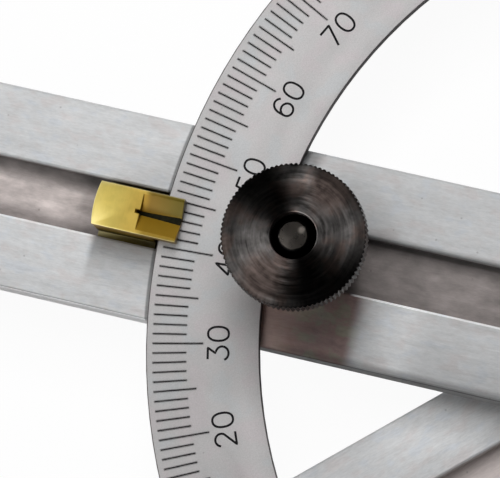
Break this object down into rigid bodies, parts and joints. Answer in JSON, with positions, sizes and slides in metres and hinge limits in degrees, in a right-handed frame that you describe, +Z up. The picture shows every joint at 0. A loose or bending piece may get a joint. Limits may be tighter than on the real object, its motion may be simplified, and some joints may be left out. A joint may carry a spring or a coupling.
{
  "type": "angle finder",
  "caption": "Protractor angle finder: channelled aluminium arms on a pivot, a graduated steel arc, a brass pointer and a knurled clamp knob.",
  "frame": {"origin": "pivot axis on the underside of the base arm", "axes": "+Z up along the pivot axis, away from the rest face; base arm along -X; the graduated arc on the +Y side; the reading grows clockwise seen from above"},
  "size_m": [0.3774, 0.2226, 0.0319],
  "materials": {
    "arm_aluminium": "brushed lengthwise, lightly scratched",
    "scale_steel": "satin with black engraved graduations",
    "fastener_steel": "bright plated",
    "washer_plastic": "natural",
    "bush_bronze": "turned bronze",
    "pointer_brass": "milled",
    "black_steel": "black oxide, turned"
  },
  "bodies": {
    "base": {"base_arm": "arm_aluminium", "scale_spacer": "arm_aluminium", "scale_plate": "scale_steel", "scale_screws": "fastener_steel", "pivot_stud": "fastener_steel", "thrust_washer": "washer_plastic", "spring_washer": "fastener_steel", "plain_washer": "fastener_steel", "pivot_nut": "fastener_steel"},
    "swing": {"swing_arm": "arm_aluminium", "pivot_bush": "bush_bronze", "pointer": "pointer_brass", "pointer_screw": "fastener_steel", "clamp_stud": "black_steel", "stud_nut": "fastener_steel", "lift_washer": "fastener_steel"},
    "clamp": {"clamp_shoe": "black_steel", "clamp_washer": "fastener_steel"},
    "knob": {"lock_knob": "black_steel"}
  },
  "joints": [
    {"name": "arm_pivot", "type": "hinge", "parent": "base", "child": "swing", "pos_m": [0, 0, 0.0105], "axis": [0, 0, -1], "range_deg": [-32.8, 137.2]},
    {"name": "clamp_lift", "type": "slide", "parent": "swing", "child": "clamp", "axis": [0, 0, 1], "range_m": [0, 0.0018], "stiffness_N_per_m": 20, "springref_m": 0.0125},
    {"name": "knob_turn", "type": "hinge", "parent": "clamp", "child": "knob", "pos_m": [-0.04806, 0.0445, 0.0296], "axis": [0, 0, 1], "range_deg": [0, 720]}
  ],
  "couplings": [
    {"joint": "clamp_lift", "follows": "knob_turn", "m_per_rad": 0.00012732}
  ]
}
